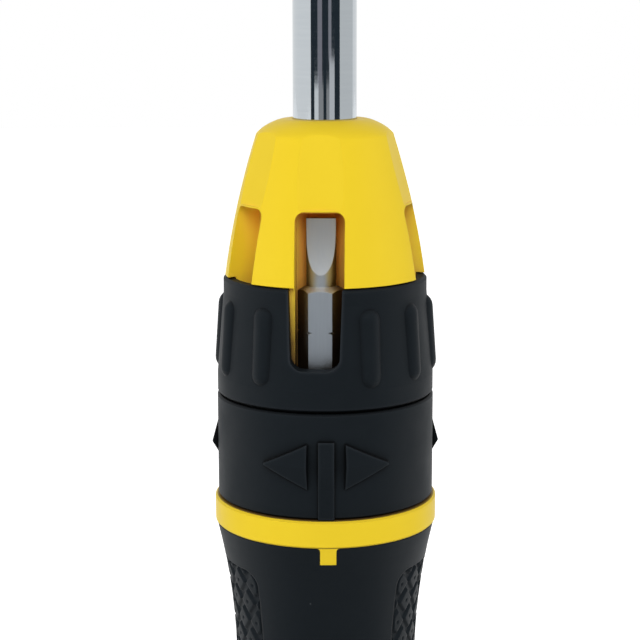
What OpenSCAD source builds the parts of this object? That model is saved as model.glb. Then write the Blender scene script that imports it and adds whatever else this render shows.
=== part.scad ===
// Ratcheting screwdriver with bits stored in its nose.
// The tool stands on its butt with the shaft along +Z. The front, with the index tab
// and the open window, faces -Y. Sizes are in millimetres and angles in degrees.

/* [Handle] */
// Height from the flat butt to the underside of the index ring
handle_len = 88.6; // [80:0.1:110]
// Step from the index ring in to the grip under it
grip_step = 0.2; // [0.1:0.05:0.5]
// Grip radius at the waist
grip_waist_r = 14.6; // [14:0.1:16]
// Distance from the index ring down to the waist
grip_waist_drop = 26.6; // [22:0.1:32]
// Grip radius at the palm swell
grip_palm_r = 17; // [15.5:0.1:19]
// Distance from the index ring down to the palm swell
grip_palm_drop = 58.6; // [48:0.1:66]
// Radius of the flat butt
butt_flat_r = 11; // [8:0.5:13]
// Thickness of the soft grip over the core
grip_wall = 2.6; // [1.6:0.1:3]
// Thickness of the soft grip under the core
butt_wall = 4; // [2:0.5:8]
// Distance from the index ring down to the top of the side pads
pad_drop = 5.7; // [4:0.1:10]
// Height of the side pads
pad_len = 59.6; // [40:0.1:64]
// Angle around the axis from the middle of a side pad to its border
pad_half_turn = 46.7; // [35:0.1:50]
// Corner radius of a side pad
pad_corner_r = 2.2; // [1:0.1:5]
// Depth of the side pads below the grip's surface
pad_depth = 0.5; // [0.3:0.1:1]

/* [Index ring] */
// Step from the collar out to the index ring
index_step = 0.55; // [0.4:0.05:1]
// Height of the index ring
index_ring_h = 4.3; // [3.5:0.1:7]
// Width of the index tab
tab_w = 2.5; // [1.5:0.1:5]
// Length of the index tab below its ring
tab_len = 2.8; // [1.5:0.1:5]

/* [Direction collar] */
// Step from the foot of the window ring out to the collar
collar_step = 0.05; // [0.05:0.05:0.4]
// Height of the collar
collar_h = 16.5; // [14.5:0.1:20]
// Wall of the collar
collar_wall = 2.25; // [1.8:0.05:2.6]
// Turn of the collar from its middle place to either side
selector_turn = 20; // [15:1:22]
// Height of the symbols' ridge above the index ring
symbol_rise = 8.5; // [7:0.1:10]
// Height of the arrow symbols
arrow_h = 7.2; // [4:0.1:8]
// Length of the arrow symbols
arrow_len = 6.8; // [4:0.1:8]
// Distance from the middle to an arrow's base
arrow_start = 2.8; // [2.2:0.1:4]
// Width of the middle bar
bar_w = 2.5; // [1.5:0.1:3.5]
// Height of the symbols above the collar's surface along their ridge
symbol_relief = 0.6; // [0.3:0.05:1]
// Height of the symbols above the collar's surface at their upper edges
symbol_edge = 0.3; // [0.1:0.05:0.3]
// Height of the symbols above the collar's surface at their lower edges
symbol_foot = 0.2; // [0.05:0.05:0.3]
// Lean of the arrows' walls beside the middle bar
symbol_lean = 0.35; // [0.1:0.05:0.5]
// Turn of the symbols from the index tab, as the collar sits in its play
symbol_turn = -1; // [-3:0.1:3]
// Height of the thumb nubs above the collar's surface
nub_relief = 0.95; // [0.4:0.05:1.5]
// Width of the thumb nubs
nub_w = 3.2; // [2:0.1:6]

/* [Window ring] */
// Height of the window ring
win_ring_h = 18.6; // [17:0.1:22]
// Step from the nose out to the top of the window ring
win_step = 0.3; // [0.2:0.05:0.6]
// Flare of the window ring from its top to its foot
win_flare = 1.1; // [0.9:0.05:1.6]
// Height of the straight foot of the ring
win_foot_h = 3.2; // [2:0.1:4]
// Height of the straight band at the top of the ring
win_band_h = 2.4; // [1.5:0.1:3]
// Number of places around the ring, one of which is the window
rib_places = 12; // [8:1:12]
// Radius of the round grip ribs, which lie partly in the ring
rib_r = 2.1; // [1.6:0.05:2.4]
// Height of the grip ribs above the ring's surface
rib_relief = 0.66; // [0.3:0.02:1]
// Extra height of the grip ribs at their upper ends
rib_rise = 0.2; // [0:0.02:0.4]
// Distance from the foot of the ring up to the window's sill
sill_rise = 6.3; // [5.5:0.1:9]
// Width of the window at its sill
window_foot_w = 7.6; // [7.4:0.1:9]
// Width of the window at the top of the ring
window_top_w = 8.2; // [7.8:0.1:10]
// Corner radius of the window
window_corner_r = 2; // [1:0.1:3]
// Turn of the ring at rest, from the front slot
ring_rest = -2.3; // [-3:0.1:3]

/* [Bit carousel] */
// Height of the carousel's nose above the window ring
nose_h = 24.4; // [23:0.1:32]
// Radius of the nose just above the window ring
nose_base_r = 15.8; // [15.5:0.05:16.2]
// Taper of the nose from the window ring to its shoulder
nose_taper = 4.9; // [3:0.1:5.2]
// Radius of the flat top around the shaft
nose_flat_r = 6.5; // [6:0.1:8]
// Height of the rounded shoulder
nose_round_h = 2.6; // [2:0.1:5]
// Swell of the nose's side beyond a straight cone
nose_swell = 0.5; // [0:0.02:1]
// Number of bit slots
slot_count = 6; // [4:1:6]
// Angle from one bit slot to the next
slot_pitch = 56; // [54:0.5:57]
// Turn of the front slot from the index tab
carousel_turn = -4.7; // [-10:0.1:10]
// Distance from the foot of the window ring up to the bits' seat
seat_rise = 3.8; // [3.6:0.1:5]
// Free height above a stored bit
slot_headroom = 1.3; // [0.8:0.1:3]
// Corner radius at the top of a slot
slot_corner_r = 1.5; // [0.8:0.1:2.5]
// Distance from the drum's surface in to the stored bits' axes
bit_cover = 4.65; // [4.3:0.05:4.75]
// Wall between the window ring's bore and its smallest outside
win_wall = 1.55; // [1.3:0.05:1.7]

/* [Bits] */
// Width across the flats of the bits' hexagon
bit_af = 6.35; // [6:0.01:6.4]
// Length of a bit
bit_len = 25; // [23:0.1:26]
// Length of the bits' hexagon
bit_hex_len = 13.6; // [12:0.1:15]
// Height of the corner notches above a bit's foot
bit_notch_rise = 7.7; // [7:0.1:9.5]
// Diameter of the slotted bit's neck and blade
blade_w = 4.6; // [3.5:0.1:5.5]
// Thickness of the slotted bit's blade at its tip
blade_t = 0.9; // [0.6:0.05:1.4]

/* [Shaft] */
// Diameter of the shaft
shaft_d = 10; // [9.9:0.05:10.1]
// Length of the shaft outside the nose
shaft_out = 84; // [60:1:150]
// Depth of the hexagon socket in the shaft's tip
socket_depth = 13; // [10:0.5:16]
// Diameter of the magnet under the socket
magnet_d = 5; // [3:0.1:6]
// Length of the magnet
magnet_len = 3; // [2:0.1:6]
// Diameter of the shaft's rear journal
journal_d = 7.6; // [6.5:0.1:7.8]
// Width across the flats of the hexagon that carries the gear
drive_af = 8; // [7.9:0.05:8.4]

/* [Ratchet] */
// Number of gear teeth
gear_teeth = 24; // [24:12:24]
// Height of the gear
gear_h = 6; // [5:0.1:6.5]
// Radius of the gear's tips
gear_tip_r = 7.1; // [7.08:0.01:7.14]
// Depth of the gear's gaps
gear_gap_depth = 1.3; // [1.28:0.01:1.36]
// Half width of a gap at the gear's tips
gap_tip_half = 0.52; // [0.48:0.01:0.56]
// Half width of a gap at its root
gap_root_half = 0.32; // [0.3:0.01:0.36]
// Swing of a pawl at either end of the collar's turn
pawl_swing = 6.2; // [6:0.1:6.4]
// Diameter of the pawls' pivot pins
pivot_d = 1.8; // [1.4:0.1:2.2]
// Diameter of the pawls' follower pins
follower_d = 1.2; // [1:0.1:1.4]
// Thickness of the cam plate
cam_t = 1.6; // [1.2:0.1:2]
// Thickness of the housing's floor under the gear
floor_t = 2.7; // [2.4:0.1:3.2]
// Width across the flats of the housing's stem
stem_af = 15; // [14.5:0.1:16]
// Length of the stem in the handle core
stem_len = 31; // [28:1:40]
// Diameter of the stem's cross pin
stem_pin_d = 3; // [2:0.1:3.5]

/* [Clearances] */
// Radial clearance of a turning fit
run_gap = 0.1; // [0.06:0.01:0.12]
// Open seam between rings that turn past one another
seam_gap = 0.2; // [0.15:0.01:0.25]
// Axial clearance of stacked pieces that turn
axial_gap = 0.05; // [0.04:0.01:0.08]
// Clearance of a pressed or seated piece
seat_gap = 0.02; // [0.01:0.005:0.04]

/* [Hidden] */
$fn = 96;
// A cut runs this far past the faces that it opens
over = 1;

// Heights of the stacked pieces, from the butt upwards
z_ring = handle_len;
z_deck = z_ring + index_ring_h;
z_floor = z_deck + floor_t;
z_gear = z_floor + axial_gap;
z_gear_top = z_gear + gear_h;
z_block = z_gear_top + axial_gap;
z_cam = z_block + axial_gap;
z_boss = z_cam + cam_t + axial_gap;
z_collar = z_deck + seam_gap;
z_collar_top = z_collar + collar_h;
keeper_t = 0.5;
z_keeper = z_collar_top + seam_gap / 2;
z_drum = z_keeper + keeper_t;
z_window = z_collar_top + seam_gap;
z_window_top = z_window + win_ring_h;
z_ledge = z_window_top + seam_gap;
z_nose = z_ledge + nose_h;
z_tip = z_nose + shaft_out;
z_socket = z_tip - socket_depth;
z_seat = z_window + seat_rise;
z_slot_top = z_seat + bit_len + slot_headroom;
seat_floor_t = 2.2;
z_hub_top = z_seat - seat_floor_t;
z_ridge = z_deck + symbol_rise;

// Radii of the stacked pieces: outwards and down from the nose, then inwards
nose_neck_r = nose_base_r - nose_taper;
win_top_r = nose_base_r + win_step;
win_foot_r = win_top_r + win_flare;
collar_r = win_foot_r + collar_step;
index_ring_r = collar_r + index_step;
grip_top_r = index_ring_r - grip_step;
shaft_r = shaft_d / 2;
block_r = collar_r - collar_wall - run_gap;
drum_r = win_top_r - win_wall - run_gap;
drum_step = 0.8;
keeper_step = 1.4;
gear_room = 0.3;
boss_r = drum_r - drum_step;
keeper_r = drum_r + keeper_step;
bit_circle_r = drum_r - bit_cover;
cavity_r = gear_tip_r + gear_room;
gear_root_r = gear_tip_r - gear_gap_depth;
hub_wall = 1.8;
hub_r = cavity_r + hub_wall;
hub_socket_r = hub_r + run_gap;
journal_r = journal_d / 2;
bush_wall = 1.6;
rear_bush_r = journal_r + bush_wall;
shaft_bore_r = shaft_r + run_gap;

// Stem of the housing and what crosses it
z_stem = z_deck - stem_len;
bush_len = 13;
bush_flange_t = 0.7;
z_bush_foot = z_floor - bush_len;
clip_t = 0.8;
clip_groove = 0.5;
clip_room = 0.4;
shaft_tail = 2;
z_clip = z_bush_foot - axial_gap - clip_t;
z_shaft_end = z_clip - shaft_tail;
clip_room_r = rear_bush_r + clip_room;
stem_pin_rise = 7;
z_stem_pin = z_stem + stem_pin_rise;

// A pawl in plan, at rest, on the +X side. Its tooth points at the axis along -X.
tooth_room = 0.05;
pawl_depth = gear_gap_depth / 2 - tooth_room;
tooth_x = gear_tip_r - pawl_depth;
tooth_half = 0.14;
tooth_len = 2.1;
flank_slope = (gap_tip_half - gap_root_half) / gear_gap_depth;
pivot = [tooth_x + 1.2, 6];
knee = [tooth_x + 2.5, 0.2];
pawl_arm_r = 1.12;
pawl_link_r = 0.9;
pawl_boss_r = 1.9;
pawl_h = z_block - z_floor - 2 * axial_gap;
z_pawl = z_floor + axial_gap;
pawl_ratio = -pawl_swing / selector_turn;
cam_gap = 0.12;
pocket_wall = 1.05;
pocket_r = block_r - pocket_wall;
follower_inset = 1.85;
follower = [pocket_r - follower_inset, 0.8];
pocket_from = -11;
pocket_to = 53;
pawl_spring_r = 1.9;
pawl_spring_t = 0.35;
pawl_spring_turn = 17.5;
pawl_spring_at = pocket_r - pawl_spring_r - seat_gap;

// Leaf springs that click the collar and the window ring into their places
leaf_t = 0.4;
leaf_bow_r = 3.6;
leaf_lift = 0.45;
leaf_pocket = 1.2;
leaf_room = 0.15;
leaf_h = 4;
ring_leaf_h = 2.2;
ring_leaf_turn = 164;
z_ring_leaf = z_drum + 0.5;
z_selector_leaf = z_floor + 1;

// Points of the outlines
curve_steps = 10;
arc_steps = 6;
shoulder_start = 12;
shoulder_power = 1.4;

// Radius of the grip, from its distance below the index ring
function grip_r(drop) =
    drop <= grip_waist_drop
        ? grip_waist_r + (grip_top_r - grip_waist_r) * pow(1 - drop / grip_waist_drop, 2.2)
    : drop <= grip_palm_drop
        ? grip_waist_r + (grip_palm_r - grip_waist_r)
            * (1 - cos(180 * (drop - grip_waist_drop) / (grip_palm_drop - grip_waist_drop))) / 2
    : butt_flat_r + (grip_palm_r - butt_flat_r)
        * pow(max(0, 1 - pow((drop - grip_palm_drop) / (handle_len - grip_palm_drop), 2.6)), 1 / 2.6);

// Distances below the index ring at which the grip's outline has points, closer at the butt
function grip_drops(last) = [
    for (i = [0 : curve_steps]) grip_waist_drop * i / curve_steps,
    for (i = [1 : curve_steps]) grip_waist_drop + (grip_palm_drop - grip_waist_drop) * i / curve_steps,
    for (i = [1 : curve_steps]) grip_palm_drop + (last - grip_palm_drop) * sin(90 * i / curve_steps)
];

// Half outline of the grip, or of what lies under it by inset, down to a foot
function grip_outline(inset, foot) = [
    [0, z_ring],
    for (drop = grip_drops(handle_len - foot)) [grip_r(drop) - inset, z_ring - drop],
    [0, foot]
];

// A place on a pawl after the pawl swings about its pivot
function swung(place, swing) =
    let (dx = place[0] - pivot[0], dy = place[1] - pivot[1])
    [pivot[0] + dx * cos(swing) - dy * sin(swing), pivot[1] + dx * sin(swing) + dy * cos(swing)];

// Distance of the follower from the axis, and its angle in the cam plate, at a turn of the collar
function follower_reach(turn) = norm(swung(follower, pawl_ratio * turn));
function follower_angle(turn) =
    let (at = swung(follower, pawl_ratio * turn)) atan2(at[1], at[0]) - turn;

function polar(radius, angle) = [radius * cos(angle), radius * sin(angle)];

// Points along an arc
function arc(middle, radius, from, to) =
    [for (i = [0 : arc_steps]) middle + polar(radius, from + (to - from) * i / arc_steps)];

// Circumscribed radius of a hexagon, from its width across flats
function hex_r(af) = af / (2 * cos(30));

// Shapes that several pieces share

// Turns a half outline around the axis
module turned(points) {
    rotate_extrude() polygon(points);
}

// Extrudes an outline in X and Z outwards along -Y, between two radii
module outwards(from_r, to_r) {
    rotate([90, 0, 0]) translate([0, 0, from_r]) linear_extrude(height = to_r - from_r) children();
}

// A ring between two radii and two heights
module ring(inner_r, outer_r, foot, top) {
    translate([0, 0, foot]) difference() {
        cylinder(r = outer_r, h = top - foot);
        translate([0, 0, -over]) cylinder(r = inner_r, h = top - foot + 2 * over);
    }
}

// A straight bar with round ends, from one place to another
module capsule(from, to, radius) {
    translate(from) circle(radius);
    translate(to) circle(radius);
    translate(from) rotate(atan2(to[1] - from[1], to[0] - from[0]))
        translate([0, -radius]) square([norm(to - from), 2 * radius]);
}

// A rectangle with round corners, centred on X, between two heights
module rounded(width, foot, top, corner) {
    x = width / 2 - corner;
    polygon(concat(
        arc([x, foot + corner], corner, -90, 0), arc([x, top - corner], corner, 0, 90),
        arc([-x, top - corner], corner, 90, 180), arc([-x, foot + corner], corner, 180, 270)
    ));
}

// Handle

// The strip of the index tab, seen from the front, with a fillet at each side under its ring
module tab_strip() {
    fillet = 0.5;
    x = tab_w / 2;
    polygon(concat(
        [[x, z_ring - tab_len]], arc([x + fillet, z_ring - fillet], fillet, 180, 90),
        arc([-x - fillet, z_ring - fillet], fillet, 90, 0), [[-x, z_ring - tab_len]]
    ));
}

module handle_core() {
    edge = 0.3;
    color("gold") difference() {
        union() {
            turned(grip_outline(grip_wall, butt_wall));
            turned([
                [0, z_ring], [index_ring_r - edge, z_ring], [index_ring_r, z_ring + edge],
                [index_ring_r, z_deck - edge], [index_ring_r - edge, z_deck], [0, z_deck]
            ]);
            intersection() {
                turned(grip_outline(0, 0));
                outwards(grip_waist_r - grip_wall, index_ring_r) tab_strip();
            }
        }
        translate([0, 0, z_stem - seat_gap])
            cylinder(r = hex_r(stem_af + 2 * seat_gap), h = stem_len + over, $fn = 6);
        stem_pin_shape(seat_gap, over);
    }
}

// Half width of a side pad, straight across, at a height
function pad_half(z) =
    let (
        top = z_ring - pad_drop,
        into_corner = max(0, pad_corner_r - min(top - z, z - top + pad_len)),
        cut_back = pad_corner_r - sqrt(pow(pad_corner_r, 2) - pow(into_corner, 2))
    )
    grip_r(z_ring - z) * sin(pad_half_turn) - cut_back;

// Outline of a side pad, seen from the side, with its points closer at the corners
module pad_outline() {
    foot = z_ring - pad_drop - pad_len;
    heights = [
        for (i = [0 : arc_steps]) foot + pad_corner_r * (1 - cos(90 * i / arc_steps)),
        for (i = [1 : curve_steps - 1])
            foot + pad_corner_r + (pad_len - 2 * pad_corner_r) * i / curve_steps,
        for (i = [arc_steps : -1 : 0]) foot + pad_len - pad_corner_r * (1 - cos(90 * i / arc_steps))
    ];
    polygon(concat(
        [for (z = heights) [pad_half(z), z]],
        [for (i = [len(heights) - 1 : -1 : 0]) [-pad_half(heights[i]), heights[i]]]
    ));
}

module handle_grip() {
    color("#26292d") difference() {
        turned(grip_outline(0, 0));
        turned(grip_outline(grip_wall, butt_wall));
        outwards(grip_waist_r - grip_wall, index_ring_r) tab_strip();
        for (side = [-90, 90])
            rotate(side) difference() {
                outwards(grip_waist_r / 2, grip_palm_r + over) pad_outline();
                turned(grip_outline(pad_depth, pad_depth));
            }
    }
}

// Housing of the ratchet, with its stem in the handle core

// The two pawl pockets, as sectors that reach in to the gear
module pocket_plan() {
    reach = 2 * pocket_r;
    for (flip = [0, 1]) mirror([flip, 0])
        intersection() {
            circle(pocket_r);
            polygon([[0, 0], polar(reach, pocket_from), polar(reach, (pocket_from + pocket_to) / 2),
                polar(reach, pocket_to)]);
        }
}

module stem_pin_shape(gap, past) {
    length = 2 * (grip_r(z_ring - z_stem_pin) - grip_wall + past);
    translate([-length / 2, 0, z_stem_pin]) rotate([0, 90, 0])
        cylinder(d = stem_pin_d + 2 * gap, h = length);
}

// The pocket behind a leaf spring, in a wall of this radius, seen from above
module leaf_pocket_plan(wall_r) {
    half = sqrt(pow(leaf_bow_r, 2) - pow(leaf_bow_r - leaf_lift - leaf_pocket, 2)) + leaf_room;
    translate([-half, -wall_r - over]) square([2 * half, leaf_pocket + over]);
}

// A bowed leaf spring that stands out of a wall of this radius, seen from above
module leaf_plan(wall_r) {
    middle = wall_r + leaf_lift - leaf_bow_r;
    intersection() {
        translate([0, -middle]) difference() {
            circle(leaf_bow_r);
            circle(leaf_bow_r - leaf_t);
        }
        translate([-leaf_bow_r, -wall_r - leaf_lift - over])
            square([2 * leaf_bow_r, leaf_pocket + leaf_lift + over]);
    }
}

// The notch that a leaf spring clicks into, seen from above
module leaf_notch_plan(wall_r) {
    translate([0, -(wall_r + leaf_lift - leaf_bow_r)]) circle(leaf_bow_r + leaf_room);
}

snap_wire = 0.9;
snap_drop = 2.6;
z_snap = z_hub_top - snap_drop;
key_w = 3;
key_root = 0.5;

module ratchet_housing() {
    color("silver") difference() {
        union() {
            translate([0, 0, z_stem]) cylinder(r = hex_r(stem_af), h = stem_len + floor_t / 2, $fn = 6);
            translate([0, 0, z_deck]) cylinder(r = block_r, h = z_block - z_deck);
            translate([0, 0, z_deck]) cylinder(r = hub_r, h = z_hub_top - z_deck);
        }
        translate([0, 0, z_floor]) cylinder(r = cavity_r, h = z_hub_top);
        translate([0, 0, z_bush_foot - seat_gap]) cylinder(r = rear_bush_r + seat_gap, h = z_floor);
        translate([0, 0, z_floor - bush_flange_t]) cylinder(r = gear_tip_r + seat_gap, h = gear_h);
        translate([0, 0, z_stem - over]) cylinder(r = clip_room_r, h = z_bush_foot - z_stem + over);
        translate([0, 0, z_floor]) linear_extrude(height = z_hub_top) pocket_plan();
        for (flip = [0, 1]) mirror([flip, 0, 0]) translate([pivot[0], pivot[1], z_floor - floor_t / 2])
            cylinder(d = pivot_d + 2 * seat_gap, h = gear_h);
        rotate(180) translate([0, 0, z_selector_leaf - leaf_room])
            linear_extrude(height = leaf_h + 2 * leaf_room) leaf_pocket_plan(block_r);
        translate([-key_w / 2, -hub_r - over, z_boss]) cube([key_w, hub_wall + 1.5 * over, z_hub_top]);
        ring(hub_r - snap_wire / 2 - seat_gap, hub_r + over,
            z_snap - snap_wire / 2 - axial_gap, z_snap + snap_wire / 2 + axial_gap);
        stem_pin_shape(seat_gap, over);
    }
}

module stem_pin() {
    end_gap = 0.3;
    color("silver") stem_pin_shape(0, -end_gap);
}

module rear_bush() {
    color("peru") {
        difference() {
            union() {
                translate([0, 0, z_bush_foot]) cylinder(r = rear_bush_r, h = z_floor - z_bush_foot);
                translate([0, 0, z_floor - bush_flange_t]) cylinder(r = gear_tip_r, h = bush_flange_t);
            }
            translate([0, 0, z_bush_foot - over]) cylinder(r = journal_r + run_gap, h = z_gear);
        }
    }
}

module front_bush() {
    color("peru") ring(shaft_r + run_gap / 2, cavity_r - seat_gap, z_gear_top + axial_gap, z_hub_top);
}

module pawl_pins() {
    color("silver") for (flip = [0, 1]) mirror([flip, 0, 0])
        translate([pivot[0], pivot[1], z_floor - floor_t / 2])
            cylinder(d = pivot_d, h = z_block - z_floor + floor_t / 2);
}

// A C-shaped spring between a pawl and the pocket's outer wall
module pawl_spring() {
    mouth = 40;
    translate([0, 0, z_pawl]) linear_extrude(height = pawl_h) rotate(pawl_spring_turn)
        translate([pawl_spring_at, 0]) difference() {
            circle(pawl_spring_r);
            circle(pawl_spring_r - pawl_spring_t);
            polygon([[0, 0], polar(2 * pawl_spring_r, 90 - mouth), polar(2 * pawl_spring_r, 90 + mouth)]);
        }
}

module reverse_pawl_spring() {
    color("slategray") pawl_spring();
}

module forward_pawl_spring() {
    color("slategray") mirror([1, 0, 0]) pawl_spring();
}

module selector_detent_spring() {
    color("slategray") rotate(180) translate([0, 0, z_selector_leaf])
        linear_extrude(height = leaf_h) leaf_plan(block_r);
}

// Bit carousel, the nose that stores the bits

// Angle of a bit slot, with slot 0 at the front
function slot_angle(number) = carousel_turn - slot_pitch * number;

// A point of the nose's shoulder, from its side at 0 degrees to its flat top at 90
function shoulder_point(a) = [
    nose_flat_r + (nose_neck_r - nose_flat_r) * pow(cos(a), 2 / shoulder_power),
    z_nose - nose_round_h + nose_round_h * pow(sin(a), 2 / shoulder_power)
];
nose_side_end = shoulder_point(shoulder_start);

// Radius and height of the nose's swelling side, from 0 at the ledge to 1 at the shoulder
function side_r(t) = nose_base_r + (nose_side_end[0] - nose_base_r) * t + 4 * nose_swell * t * (1 - t);
function side_z(t) = z_ledge + (nose_side_end[1] - z_ledge) * t;

// Half outline of the carousel: boss, drum, ledge, swelling side and round shoulder
function carousel_outline() = [
    [0, z_boss], [boss_r, z_boss], [boss_r, z_drum], [drum_r, z_drum], [drum_r, z_ledge],
    for (i = [0 : curve_steps - 1]) [side_r(i / curve_steps), side_z(i / curve_steps)],
    for (i = [0 : curve_steps]) shoulder_point(shoulder_start + (90 - shoulder_start) * i / curve_steps),
    [0, z_nose]
];

pocket_af = bit_af + 2 * run_gap;
slot_w = 2 * hex_r(pocket_af);

// A pocket for the bit's hexagon, open to the outside over the bit's whole width
module slot_cut() {
    translate([0, -bit_circle_r, z_seat])
        cylinder(r = hex_r(pocket_af), h = bit_len + slot_headroom / 2, $fn = 6);
    corner_x = slot_w / 2 - slot_corner_r;
    corner_z = z_slot_top - slot_corner_r;
    outwards(bit_circle_r - run_gap, nose_base_r + over) polygon(concat(
        [[-slot_w / 2, z_seat], [slot_w / 2, z_seat]],
        arc([corner_x, corner_z], slot_corner_r, 0, 90),
        arc([-corner_x, corner_z], slot_corner_r, 90, 180)
    ));
}

// The flat that runs from a slot's top up to the shoulder, where it runs out
module slot_flat() {
    flat_depth = 0.5;
    middle = (z_slot_top + nose_side_end[1]) / 2;
    t = (middle - z_ledge) / (nose_side_end[1] - z_ledge);
    step = 0.01;
    lean = atan((side_r(t - step) - side_r(t + step)) / (side_z(t + step) - side_z(t - step)));
    translate([0, flat_depth - side_r(t), middle]) rotate([-lean, 0, 0])
        translate([-slot_w / 2, -over - flat_depth, z_slot_top - middle])
            cube([slot_w, over + flat_depth, z_nose - z_slot_top]);
}

module bit_carousel() {
    color("gold") {
        difference() {
            turned(carousel_outline());
            translate([0, 0, z_boss - over]) cylinder(r = shaft_bore_r, h = z_nose);
            translate([0, 0, z_boss - over]) cylinder(r = hub_socket_r, h = z_hub_top - z_boss + over);
            ring(hub_r, hub_r + snap_wire / 2 + seat_gap + run_gap,
                z_snap - snap_wire / 2 - axial_gap, z_snap + snap_wire / 2 + axial_gap);
            for (number = [0 : slot_count - 1]) rotate(slot_angle(number)) {
                slot_cut();
                slot_flat();
            }
            rotate(ring_leaf_turn) translate([0, 0, z_ring_leaf - leaf_room])
                linear_extrude(height = ring_leaf_h + 2 * leaf_room) leaf_pocket_plan(drum_r);
        }
        translate([-key_w / 2 + seat_gap, -hub_socket_r - key_root, z_boss + axial_gap])
            cube([key_w - 2 * seat_gap, key_root + hub_wall - run_gap, z_hub_top - z_boss]);
    }
}

module carousel_snap_ring() {
    color("slategray") translate([0, 0, z_snap]) rotate(-60) rotate_extrude(angle = 300)
        translate([hub_r + run_gap / 2, 0]) circle(d = snap_wire);
}

module keeper_ring() {
    color("silver") ring(boss_r + seat_gap, keeper_r, z_keeper, z_drum);
}

module ring_detent_spring() {
    color("slategray") rotate(ring_leaf_turn) translate([0, 0, z_ring_leaf])
        linear_extrude(height = ring_leaf_h) leaf_plan(drum_r);
}

// Bits

// The hexagon of a bit with its corner notches, and a neck up to the working end
module bit_body(neck_r, neck_top) {
    corner_r = hex_r(bit_af);
    foot_edge = 0.3;
    foot_r = bit_af / 2 - foot_edge;
    foot_slope = 1;
    notch_r = bit_af / 2 + 0.25;
    notch_half = 0.1;
    notch_slope = 0.5;
    shoulder = 0.4;
    cone_h = 1.05;
    intersection() {
        cylinder(r = corner_r, h = bit_hex_len + cone_h, $fn = 6);
        turned([
            [0, 0], [foot_r, 0], [corner_r + over, foot_slope],
            [corner_r + over, bit_notch_rise - notch_half - notch_slope],
            [notch_r, bit_notch_rise - notch_half], [notch_r, bit_notch_rise + notch_half],
            [corner_r + over, bit_notch_rise + notch_half + notch_slope],
            [corner_r + over, bit_hex_len - shoulder],
            [neck_r, bit_hex_len + cone_h], [0, bit_hex_len + cone_h]
        ]);
    }
    cylinder(r = neck_r, h = neck_top);
}

// A slotted bit, whose blade is ground hollow on both sides by a round wheel
module slotted_bit(width, thickness) {
    neck_r = width / 2;
    neck_len = 2.9;
    thinnest = 0.8;
    reach = bit_len - bit_hex_len - neck_len - thinnest;
    depth = neck_r - thickness / 2;
    wheel_r = (pow(reach, 2) + pow(depth, 2)) / (2 * depth);
    bit_body(neck_r, bit_hex_len + neck_len / 2);
    difference() {
        translate([0, 0, bit_hex_len]) cylinder(r = neck_r, h = bit_len - bit_hex_len);
        for (side = [-1, 1]) translate([0, side * (thickness / 2 + wheel_r), bit_len - thinnest])
            rotate([0, 90, 0]) cylinder(r = wheel_r, h = 2 * width, center = true);
    }
}

// A cross-head bit with four flutes, which run out into the neck
module phillips_bit(neck_r, point_r) {
    point_half_angle = 26;
    cone_h = (neck_r - point_r) / tan(point_half_angle);
    flute_lean = 20;
    web_share = 0.6;
    web_r = point_r * web_share;
    side = 2 * neck_r;
    neck_foot = 1.5;
    bit_body(neck_r, bit_hex_len + neck_foot);
    difference() {
        union() {
            translate([0, 0, bit_hex_len]) cylinder(r = neck_r, h = bit_len - cone_h - bit_hex_len);
            translate([0, 0, bit_len - cone_h]) cylinder(r1 = neck_r, r2 = point_r, h = cone_h);
        }
        for (turn = [45 : 90 : 315]) rotate(turn) translate([web_r, 0, bit_len])
            rotate([0, -flute_lean, 0]) rotate(-45) translate([0, 0, over - bit_len / 2])
                cube([side, side, bit_len / 2 + over]);
    }
}

// A six-lobed bit
module torx_bit(neck_r, lobe_r) {
    tip_h = 4;
    groove_at = lobe_r * 1.12;
    groove_r = lobe_r * 0.34;
    bit_body(neck_r, bit_len - tip_h);
    difference() {
        translate([0, 0, bit_len - tip_h]) cylinder(r = lobe_r, h = tip_h);
        for (turn = [0 : 60 : 300]) rotate(turn) translate([groove_at, 0, bit_len - tip_h])
            cylinder(r = groove_r, h = tip_h + over);
    }
}

// Places a bit on the seat of a carousel slot
module in_slot(number) {
    rotate(slot_angle(number)) translate([0, -bit_circle_r, z_seat]) children();
}

module slotted_bit_front() {
    color("lightsteelblue") in_slot(0) slotted_bit(width = blade_w, thickness = blade_t);
}

module slotted_bit_small() {
    color("lightsteelblue") in_slot(2) slotted_bit(width = blade_w * 0.85, thickness = blade_t * 0.8);
}

module phillips_bit_small() {
    color("lightsteelblue") in_slot(3) phillips_bit(neck_r = 2.25, point_r = 0.6);
}

module torx_bit_large() {
    color("lightsteelblue") in_slot(4) torx_bit(neck_r = 2.4, lobe_r = 1.9);
}

module torx_bit_small() {
    color("lightsteelblue") in_slot(5) torx_bit(neck_r = 2.4, lobe_r = 1.6);
}

module phillips_bit_chuck() {
    color("lightsteelblue") translate([0, 0, z_socket]) phillips_bit(neck_r = 3, point_r = 0.8);
}

// Shaft and what turns with it

module shaft() {
    tip_edge = 0.6;
    color("lightgray") difference() {
        union() {
            translate([0, 0, z_gear_top]) cylinder(r = shaft_r, h = z_tip - z_gear_top - tip_edge);
            translate([0, 0, z_tip - tip_edge])
                cylinder(r1 = shaft_r, r2 = shaft_r - tip_edge, h = tip_edge);
            translate([0, 0, z_gear - axial_gap])
                cylinder(r = hex_r(drive_af), h = gear_h + 2 * axial_gap, $fn = 6);
            translate([0, 0, z_shaft_end]) cylinder(r = journal_r, h = z_gear - z_shaft_end);
        }
        translate([0, 0, z_socket]) cylinder(r = hex_r(bit_af + run_gap), h = socket_depth + over, $fn = 6);
        translate([0, 0, z_socket - magnet_len])
            cylinder(d = magnet_d + 2 * seat_gap, h = magnet_len + over);
        ring(
            journal_r - clip_groove, journal_r + over, z_clip - axial_gap, z_clip + clip_t + axial_gap / 2
        );
    }
}

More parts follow.
